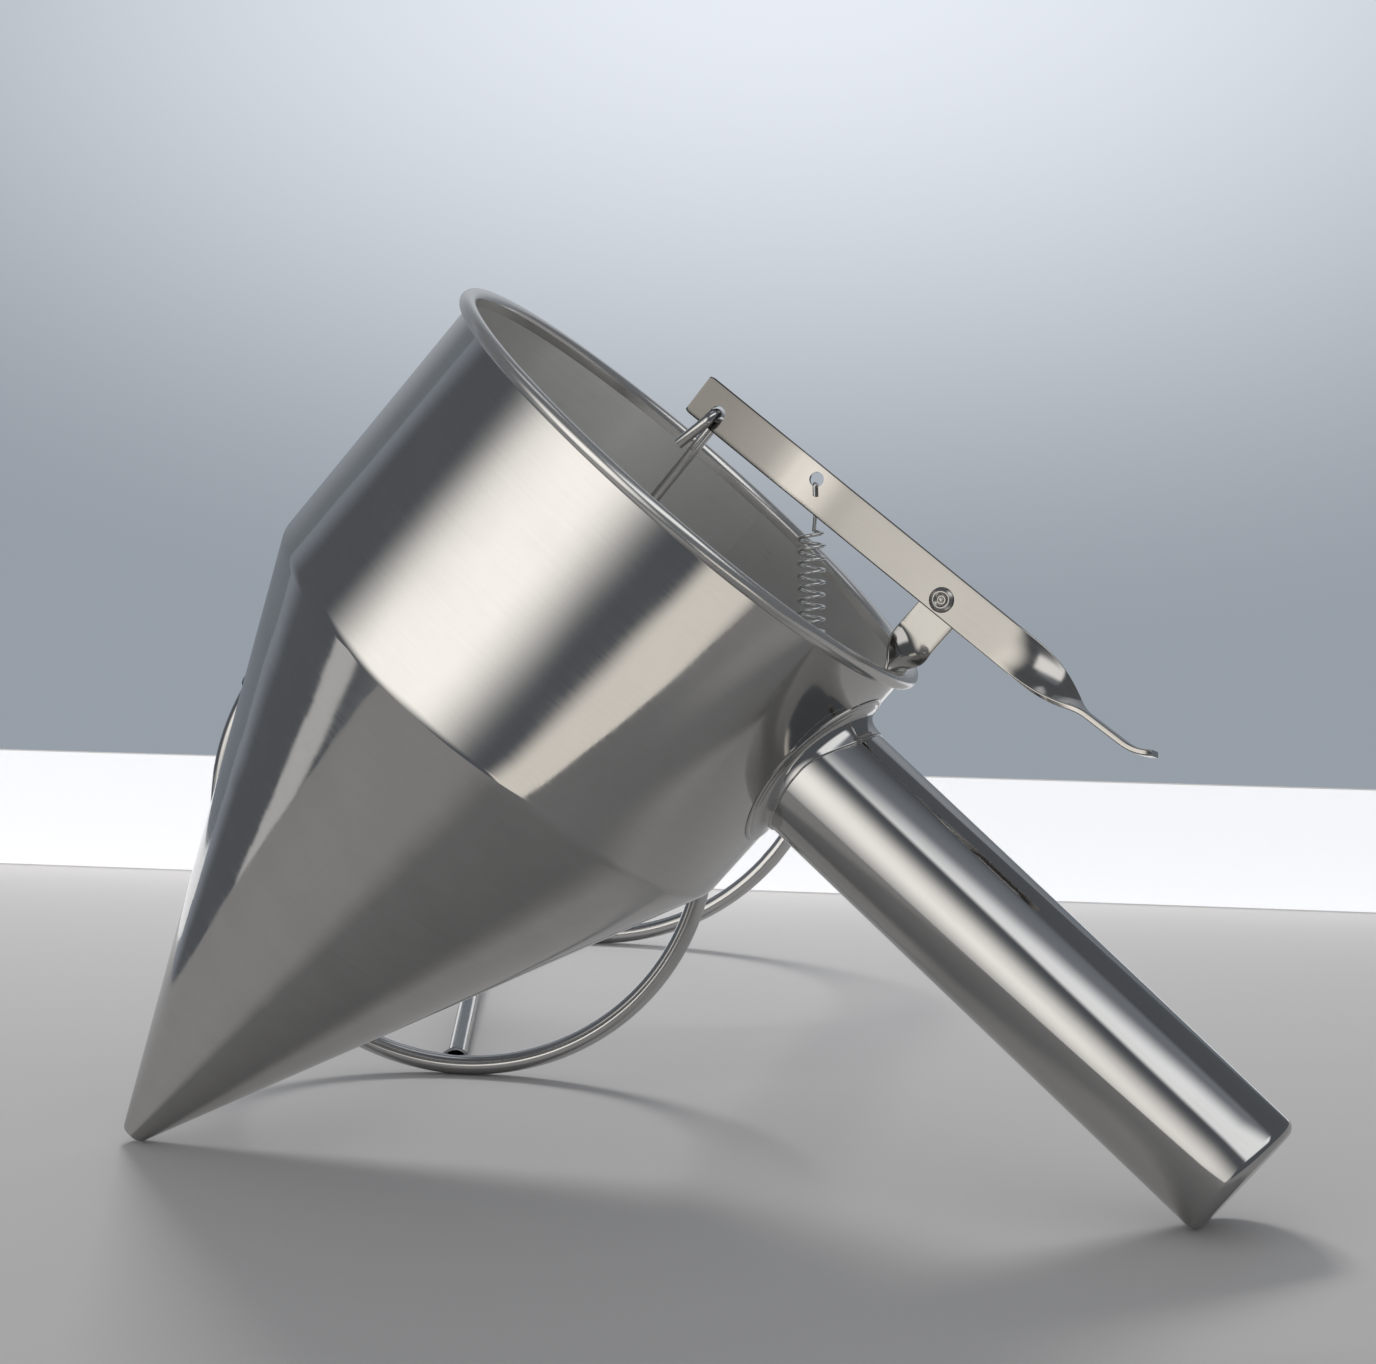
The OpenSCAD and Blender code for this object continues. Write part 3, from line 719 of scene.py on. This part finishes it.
def pivot_bracket():
    """The strip inside the drum, turned a quarter into the tab beside the lever, and the spring's ear."""
    foot_x = FOOT_BACK - BRACKET_T / 2
    low, high = RIM_Z - FOOT_DEPTH, RIM_Z + TAB_TOP
    stations = []
    steps = 160
    for i in range(steps + 1):
        z = low + (high - low) * i / steps
        k = smoothstep(RIM_Z - 2.5, RIM_Z + 9, z)
        turn = math.pi / 2 * k
        centre = Vector((foot_x + (TAB_X - foot_x) * k, TAB_Y * k, z))
        w = Vector((math.sin(turn), math.cos(turn), 0))
        t = Vector((math.cos(turn), -math.sin(turn), 0))
        narrow = 1.0
        if high - z < STRAP_W / 2:
            narrow = max(0.12, round_end(high - z, STRAP_W / 2))
        if z - low < 2:
            narrow = min(narrow, 0.8 + 0.2 * round_end(z - low, 2))
        stations.append((centre, w, t, narrow))
    strip = bracket_piece("bracket_strip", stations, STRAP_W)
    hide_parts("pivot_bracket")
    ear_length, ear_w, steps = 6.6, 6, 40
    start = foot_x - BRACKET_T / 2
    stations = []
    for i in range(steps + 1):
        t = i / steps
        x = start + 0.6 - ear_length * t
        narrow = 1.0 if x > start - 3 else max(0.15, math.sqrt(max(0.0, 1 - ((start - 3 - x) / 3.05) ** 2)))
        rise = 0.5 * (1 - min(1, 6 * t)) ** 2
        centre = Vector((x, 0, RIM_Z - EAR_DEPTH + 0.6 + rise))
        stations.append((centre, Vector((0, 1, 0)), Vector((0, 0, 1)), narrow))
    bracket_piece("bracket_ear", stations, ear_w)


def bracket_piece(name, stations, width):
    verts, faces, uvs = strip_mesh(stations, width, BRACKET_T, 0.3)
    obj = finish_mesh(name, verts, faces, uvs, FUNNEL, "funnel", [SATIN], sharp=38)
    even_normals(obj)
    return obj


def facing(y, forwards):
    """Frame on the pivot's line at y, with its z axis towards the camera or away from it."""
    turn = math.pi / 2 if forwards else -math.pi / 2
    at = FUNNEL @ Matrix.Translation(PIVOT) @ Matrix.Translation((0, y, 0))
    return at @ Matrix.Rotation(turn, 4, "X")


def pivot_rivet():
    """A stepped head with a small centre mark, a shank through the lever, washers and a peened tail."""
    head_y = -STRAP_T / 2 - 0.02
    tab_back = TAB_Y + BRACKET_T / 2
    head = fillet([(0.01, 0.35), (1.1, 0.35), (1.5, 0.75), (2.0, 1.0), (3.0, 0.55), (3.2, 0)],
                  [0, 0.3, 0.4, 0.6, 0.4, 0], 5)
    obj = turned("rivet_head", head, facing(head_y, True), "funnel", RIVET)
    mark = fillet([(0.01, 0.8), (0.5, 0.75), (0.85, 0.3)], [0, 0.2, 0], 4)
    turned("rivet_mark", mark, facing(head_y, True), "funnel", RIVET, sides=32)
    tail = fillet([(2.05, 0), (2.05, 0.6), (2.8, 0.62), (2.7, 1.1), (2.1, 1.5), (0.01, 1.5)],
                  [0, 0, 0.1, 0.3, 0.3, 0], 4)
    turned("rivet_tail", tail, facing(tab_back, False), "funnel", SATIN)
    shank = [(2.0, 0), (2.0, tab_back - head_y)]
    turned("rivet_shank", shank, facing(head_y, False), "funnel", SATIN)
    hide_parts("pivot_rivet")
    for name, y in (("spacer_washer", STRAP_T / 2 + WASHER_GAP), ("retaining_washer", tab_back)):
        ring = fillet([(2.1, 0), (4.0, 0), (4.0, WASHER_T), (2.1, WASHER_T)], [0, 0.15, 0.15, 0], 3)
        washer = turned(name + "_ring", ring + ring[:1], facing(y, False), "funnel",
                        HANDLE)
        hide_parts(name)


def foot_rivets():
    """Two low domed heads on the bracket's foot, at these depths below the rim."""
    first = None
    for i, depth in enumerate((11, 20)):
        head = fillet([(2.4, 0), (2.3, 0.35), (1.5, 0.8), (0.01, 0.95)], [0, 0.2, 0.8, 0], 5)
        at = FUNNEL @ Matrix.Translation((FOOT_FACE, 0, RIM_Z - depth))
        inwards = at @ Matrix.Rotation(-math.pi / 2, 4, "Y")
        obj = turned(f"foot_rivet_{i + 1}", head, inwards, "funnel", SATIN, sides=40)
        first = first or obj
    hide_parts("bracket_rivets")


# ---- Spring ----

SPRING_R = 3.15
SPRING_WIRE_R = 0.48
SPRING_TURNS = 14
# The coil's ends in the funnel's frame
COIL_TOP = Vector((30.8, 0, RIM_Z + 10.6))
COIL_LOW = Vector((59.8, 0, RIM_Z - 21.3))


def return_spring():
    """The coil and its two hooks, one through the lever's hole and one through the bracket's ear."""
    ear = Vector((FOOT_FACE - 3.6, 0, RIM_Z - EAR_DEPTH))
    hole = FUNNEL.inverted() @ LEVER @ SPRING_HOLE
    y = STRAP_T / 2 + SPRING_WIRE_R + 0.12
    way = (COIL_LOW - COIL_TOP).normalized()
    side = Vector((0, -1, 0))
    out = way.cross(side)
    upper = [(2.7, -y, -3.3), (1.7, -y, -2.3), (0.8, -y + 0.1, -1.4), (0.45, -y * 0.5, -1.1),
             (0.4, 0, -1.05), (0.45, y * 0.5, -1.1), (0.9, y, -1.6), (2.2, y + 0.1, -3.2), (5.0, y, -6.6)]
    lower = [(-3.0, 0.2, 6.6), (-1.6, 0.1, 4.4), (-0.5, 0, 2.6), (0.2, 0, 1.2), (0.3, 0, -0.2),
             (0.9, 0, -1.1), (1.8, 0, -1.0)]
    coil = []
    steps = SPRING_TURNS * 20
    for i in range(steps + 1):
        t = i / steps
        a = 2 * math.pi * SPRING_TURNS * t + math.pi
        tight = 0.75 + 0.25 * smoothstep(0, 0.04, t) * smoothstep(0, 0.04, 1 - t)
        centre = COIL_TOP + (COIL_LOW - COIL_TOP) * t
        coil.append(centre + (side * math.cos(a) + out * math.sin(a)) * SPRING_R * tight)
    path = smooth_path([hole + Vector(p) for p in upper], 0.35) + coil
    path += smooth_path([ear + Vector(p) for p in lower], 0.35)
    verts, faces, uvs = wire_mesh(path, SPRING_WIRE_R, 10)
    obj = finish_mesh("coil_spring", verts, faces, uvs, FUNNEL, None, [SPRING], sharp=60)
    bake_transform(obj)
    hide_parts("return_spring")


# ---- Pull rod and stopper ----

ROD_R = 1.4


def pull_rod():
    """A straight wire from the stopper, bent through the lever's front hole, with a tail hanging down."""
    bend = 2.6
    y = STRAP_T / 2 + 0.25 + bend
    splay = math.radians(11)
    tail = 9.4
    bottom = Vector((0, 0, 9))
    quarter = [math.pi / 2 * i / 12 for i in range(13)]
    arc = [(0, y - bend + bend * math.cos(a), -bend + bend * math.sin(a)) for a in quarter]
    arc += [(0, -(y - bend) - bend * math.sin(a), -bend + bend * math.cos(a)) for a in quarter]
    arc = [HOOK + Vector(p) for p in arc]
    end = HOOK + Vector((-tail * math.sin(splay), -y, -bend - tail * math.cos(splay)))
    straight = [bottom.lerp(arc[0], k / 60) for k in range(60)]
    last = [arc[-1].lerp(end, k / 12) for k in range(1, 13)]
    line = straight + arc + last
    # The bends and the tail are smoothed, the long straight part isn't
    kept = 55
    path = line[:kept] + smooth_path(line[kept:], 0.4)[1:]
    verts, faces, uvs = wire_mesh(path, ROD_R, 24)
    obj = finish_mesh("rod_wire", verts, faces, uvs, FUNNEL, "valve_rod", [WIRE], sharp=50)
    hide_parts("pull_rod")


def stopper():
    """A turned plug that follows the cone's inside, with a small gap all round."""
    seat = NOZZLE_R - CONE_WALL - 0.32

    def r(z):
        return seat + CONE_SLOPE * z

    profile = fillet([(0.01, 1), (r(1.8) - 0.6, 1), (r(1.8), 1.8), (r(8.5), 8.5), (r(8.5) - 0.4, 9.5),
                      (ROD_R + 1.0, 12.3), (ROD_R + 0.4, 13)], [0, 0.3, 0.4, 0.3, 0.4, 0.3, 0], 5)
    obj = turned("stopper_plug", profile, FUNNEL, "valve_rod", HANDLE)
    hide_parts("stopper")


# ---- Stand: z runs from the near ring to the far one, leg angles in degrees ----

ring_low, ring_high = local_box("stand_upper_ring", STAND)
base_low, base_high = local_box("stand_base_ring", STAND)
WIRE_R = (ring_high.z - ring_low.z) / 2
UPPER_R = (ring_high.x - ring_low.x) / 2 - WIRE_R
BASE_R = (base_high.x - base_low.x) / 2 - WIRE_R
STAND_H = (base_high.z + base_low.z) / 2
FIRST_LEG = 92.5
LEG_SWEEP = 24.0
WIRE_SIDES = 28


def ring_point(angle, radius, height):
    a = math.radians(angle)
    return Vector((radius * math.cos(a), radius * math.sin(a), height))


def stand_ring(name, node, radius, height, seam_angle):
    """A ring of wire with a low bead and a fine groove where its ends are welded."""

    def seam(t):
        gap = (t * 360 - seam_angle + 180) % 360 - 180
        return 1 + 0.05 * math.exp(-(gap / 1.1) ** 2) - 0.05 * math.exp(-(gap / 0.35) ** 2)

    n = 400
    path = [Vector((radius * math.cos(2 * math.pi * k / n), radius * math.sin(2 * math.pi * k / n), height))
            for k in range(n)]
    verts, faces, uvs = wire_mesh(path, WIRE_R, WIRE_SIDES, closed=True, radius_at=seam)
    obj = finish_mesh(name, verts, faces, uvs, STAND, "stand", [WIRE], sharp=60)
    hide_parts(node)


def stand_leg(i):
    """A straight leg and the weld bead at each of its ends. Returns the beads."""
    start = ring_point(FIRST_LEG - 120 * i, UPPER_R, 0)
    end = ring_point(FIRST_LEG + LEG_SWEEP - 120 * i, BASE_R, STAND_H)
    way = (end - start).normalized()
    steps = 60
    path = [start + way * WIRE_R * 0.1 + (end - start - way * WIRE_R * 0.2) * (k / steps)
            for k in range(steps + 1)]
    verts, faces, uvs = wire_mesh(path, WIRE_R, WIRE_SIDES)
    obj = finish_mesh(f"leg_{i + 1}", verts, faces, uvs, STAND, "stand", [WIRE], sharp=60)
    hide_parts(f"stand_leg_{i + 1}")
    # The bead's profile as (radius, distance along the leg from the ring's centre line)
    bead = [(WIRE_R * 0.98, 6.4), (WIRE_R + 0.12, 5.6), (WIRE_R + 0.5, 4.4), (WIRE_R + 1.1, 3.3),
            (WIRE_R + 1.5, 2.4), (WIRE_R + 1.0, 1.2)]
    beads = []
    for name, at, z, seed in (("upper", start, way, i * 7), ("base", end, -way, i * 7 + 3)):
        x = z.cross(Vector((0.2, 0.9, 0.1))).normalized()
        m = STAND @ Matrix.Translation(at) @ Matrix((x, z.cross(x), z)).transposed().to_4x4()

        def lumpy(p, m=m, seed=seed):
            """Swells the bead unevenly and keeps it above the floor."""
            k = 1 + 0.07 * noise.noise(p * 0.9 + Vector((seed, 0, 0)))
            q = m @ Vector((p.x * k, p.y * k, p.z))
            q.z = max(q.z, 0.0001)
            return m.inverted() @ q

        beads.append(turned(f"weld_{name}_{i + 1}", bead, m, "stand", WELD, sides=32,
                            sharp=70, shape=lumpy))
    return beads


# ---- Stage: camera, floor, backdrop and light, in metres ----

CAMERA_AT = Vector((1.95, -970.23, 233.81)) * MM
CAMERA_WAY = Vector((0, 0.99207, -0.12565))
LENS = 90


def camera():
    data = bpy.data.cameras.new("Camera")
    cam = add("Camera", data)
    data.sensor_width = 36
    data.lens = LENS
    data.clip_end = 60
    cam.location = CAMERA_AT
    cam.rotation_euler = CAMERA_WAY.to_track_quat("-Z", "Y").to_euler()
    bpy.context.scene.camera = cam


def plain(name, colour, rough, one_sided=False, glow=0.0, shade_in_steel=1.0):
    """A matt paint. It can glow, be clear from behind, and take a painted shade, a dimmed copy of its colour,
    where the steel mirrors it.
    """
    m = bpy.data.materials.new(name)
    s = Nodes(m)
    shader = s.nodes["Principled BSDF"]
    for key, value in (("Base Color", (*colour, 1)), ("Roughness", rough), ("Emission Color", (*colour, 1)),
                       ("Emission Strength", glow)):
        shader.inputs[key].default_value = value
    # Painted shade: the steel's reflections see a dimmed copy of the colour
    if shade_in_steel < 1:
        painted_shade = (*[c * shade_in_steel for c in colour], 1)
        in_steel = s.node("LightPath").outputs["Is Glossy Ray"]
        s.links.new(s.mix(in_steel, (*colour, 1), painted_shade), shader.inputs["Base Color"])
    if one_sided:
        s.one_sided(shader.outputs[0])
    return m


def wall_material():
    """A pale wall with a painted pool of light, lightest at the top middle, that glows and gives a soft light of
    its own.
    """
    m = bpy.data.materials.new("wall")
    s = Nodes(m)
    place = s.node("Mapping", vector_type="POINT")
    place.inputs["Location"].default_value = (-0.02, 0, -0.342)
    place.inputs["Scale"].default_value = (0.5, 0, 1.0)
    s.links.new(s.node("TexCoord").outputs["Object"], place.inputs["Vector"])
    # Painted light: a bright patch whose glow fades towards the sides and the foot
    painted_light_falloff = s.map_range(s.vectors("LENGTH", place.outputs[0]), 0.0, 0.26, 0, 1, "SMOOTHSTEP")
    glow = s.node("Emission")
    s.links.new(s.mix(painted_light_falloff, (0.82, 0.86, 0.92, 1), (0.31, 0.345, 0.39, 1)), glow.inputs["Color"])
    # Painted shade: the glow is dimmer where the steel mirrors it
    in_steel = s.node("LightPath").outputs["Is Glossy Ray"]
    s.links.new(s.map_range(in_steel, 0, 1, 1.0, 0.65), glow.inputs["Strength"])
    s.one_sided(glow.outputs[0])
    return m


# The floor by its left, right, front and back, and the wall by its left and right ends along its foot
TABLE = (-0.5, 1.2, -0.325, 0.5)
ROOM_REACH = 4
ROOM_Z = -0.00002
WALL_ENDS = (-0.6, 0.36)
WALL_H = 0.75
WALL_FOOT = Vector((0, 0.272, 0))
WALL_TURN = -11
SKIRTING_H = 0.044


def sheet(name, corners, material):
    """A flat stage piece with four corners."""
    mesh = bpy.data.meshes.new(name)
    mesh.from_pydata([Vector(c) for c in corners], [], [(0, 1, 2, 3)])
    mesh.materials.append(material)
    obj = add(name, mesh)
    return obj


def flat_sheet(name, left, right, front, back, z, material):
    corners = [(left, front, z), (right, front, z), (right, back, z), (left, back, z)]
    return sheet(name, corners, material)


def wall_sheet(name, y, low, high, material):
    """A part of the wall between two heights, y behind the wall's foot. It casts no shadow."""
    turn = Matrix.Rotation(math.radians(WALL_TURN), 4, "Z")
    left, right = WALL_ENDS
    corners = [(left, y, low), (right, y, low), (right, y, high), (left, y, high)]
    obj = sheet(name, [WALL_FOOT + turn @ Vector(c) for c in corners], material)
    obj.visible_shadow = False


def floor_and_wall():
    # The floor carries a painted shade in the steel's reflections
    paint = plain("floor", (0.56, 0.55, 0.545), 0.6, shade_in_steel=0.78)
    flat_sheet("floor", *TABLE, 0, paint)
    # The floor further out is left out of reflections, as a table would end there
    room = flat_sheet("floor_room", -ROOM_REACH, ROOM_REACH, -ROOM_REACH, ROOM_REACH, ROOM_Z, paint)
    room.visible_glossy = False
    skirting_paint = plain("skirting", (0.9, 0.91, 0.93), 0.5, one_sided=True, glow=0.55)
    wall_sheet("skirting", 0, 0.0005, SKIRTING_H, skirting_paint)
    wall_sheet("wall", 0.003, SKIRTING_H, WALL_H, wall_material())


def soft_light(name, place, aim, size, power, colour):
    """A large soft lamp that lights the scene but isn't mirrored in the steel."""
    data = bpy.data.lights.new(name, "AREA")
    data.shape = "RECTANGLE"
    data.size, data.size_y = size
    data.energy = power
    data.color = colour
    lamp = add(name, data)
    lamp.location = place
    lamp.rotation_euler = (Vector(aim) - Vector(place)).to_track_quat("-Z", "Y").to_euler()
    lamp.visible_camera = False
    lamp.visible_glossy = False


# What matt surfaces, the steel outside the windows and the camera see of the room
AMBIENT = (0.42, 0.43, 0.445)
ROOM = (0.115, 0.125, 0.14)
BACKDROP = (0.45, 0.5, 0.57)
# Soft windows, each by heading, height, half width, half height and softness in degrees, and its colour.
# Heading 0 is away from the camera and 90 is to its right
LIGHTS = [
    (-134, 10, 29.5, 23, 20, (1.42, 1.37, 1.29)),
    (168, -32.5, 18, 8, 3, (0.86, 0.8, 0.71)),
    (138, 40, 29, 12, 5, (1.15, 1.15, 1.15)),
    (130, 56, 24, 6, 6, (0.14, 0.15, 0.17)),
    (-87, -10, 5, 6, 1, (0.48, 0.47, 0.45)),
    (-38, 12, 14, 26, 8, (0.16, 0.18, 0.21)),
    (0, 84, 12, 9, 4, (0.5, 0.51, 0.53)),
]


def soft_window(s, way, heading, height, half_w, half_h, soft):
    """1 towards the window and 0 elsewhere, with a soft edge between."""
    h, e = math.radians(heading), math.radians(height)
    front = Vector((math.sin(h) * math.cos(e), math.cos(h) * math.cos(e), math.sin(e)))
    right = Vector((math.cos(h), -math.sin(h), 0))
    ahead = s.vectors("DOT_PRODUCT", way, front)
    safe = s.maths("MAXIMUM", ahead, 0.05)
    blur = math.tan(math.radians(soft))
    sides = []
    for axis, half in ((right, half_w), (right.cross(front), half_h)):
        off = s.maths("ABSOLUTE", s.maths("DIVIDE", s.vectors("DOT_PRODUCT", way, axis), safe))
        reach = math.tan(math.radians(half))
        sides.append(s.map_range(off, max(0, reach - blur), reach + blur, 1, 0, "SMOOTHSTEP"))
    return s.maths("MULTIPLY", s.maths("MULTIPLY", *sides), s.maths("GREATER_THAN", ahead, 0.06))


def studio_light():
    """A plain studio: dim all round, with the soft windows painted in the world."""
    world = bpy.data.worlds.new("World")
    bpy.context.scene.world = world
    s = Nodes(world)
    way = s.node("TexCoord").outputs["Generated"]
    total = None
    for *window, colour in LIGHTS:
        light = s.node("VectorMath", operation="SCALE")
        light.inputs[0].default_value = colour
        s.links.new(soft_window(s, way, *window), light.inputs["Scale"])
        total = s.vectors("ADD", total, light.outputs[0]) if total else light.outputs[0]
    # Matt surfaces get an even light, and the camera itself sees a plain pale backdrop
    path = s.node("LightPath")
    seen = s.mix(path.outputs["Is Diffuse Ray"], s.vectors("ADD", ROOM, total), (*AMBIENT, 1))
    seen = s.mix(path.outputs["Is Camera Ray"], seen, (*BACKDROP, 1))
    s.links.new(seen, s.nodes["Background"].inputs["Color"])


def main():
    camera()
    floor_and_wall()
    studio_light()
    soft_light("back_light", (-0.134, 0.88, 0.95), (0, -0.05, 0.05), (0.34, 0.24), 9, (1.0, 0.98, 0.96))
    funnel_wall()
    rim_bead()
    handle_collar()
    handle_tube()
    lever_strap()
    pivot_bracket()
    pivot_rivet()
    foot_rivets()
    return_spring()
    pull_rod()
    stopper()
    stand_ring("upper_ring", "stand_upper_ring", UPPER_R, 0, 250)
    stand_ring("base_ring", "stand_base_ring", BASE_R, STAND_H, 40)
    welds = [bead for i in range(3) for bead in stand_leg(i)]
    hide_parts("stand_weld_tacks")
    view = bpy.context.scene.view_settings
    view.view_transform = "Standard"
    view.look = "None"


main()
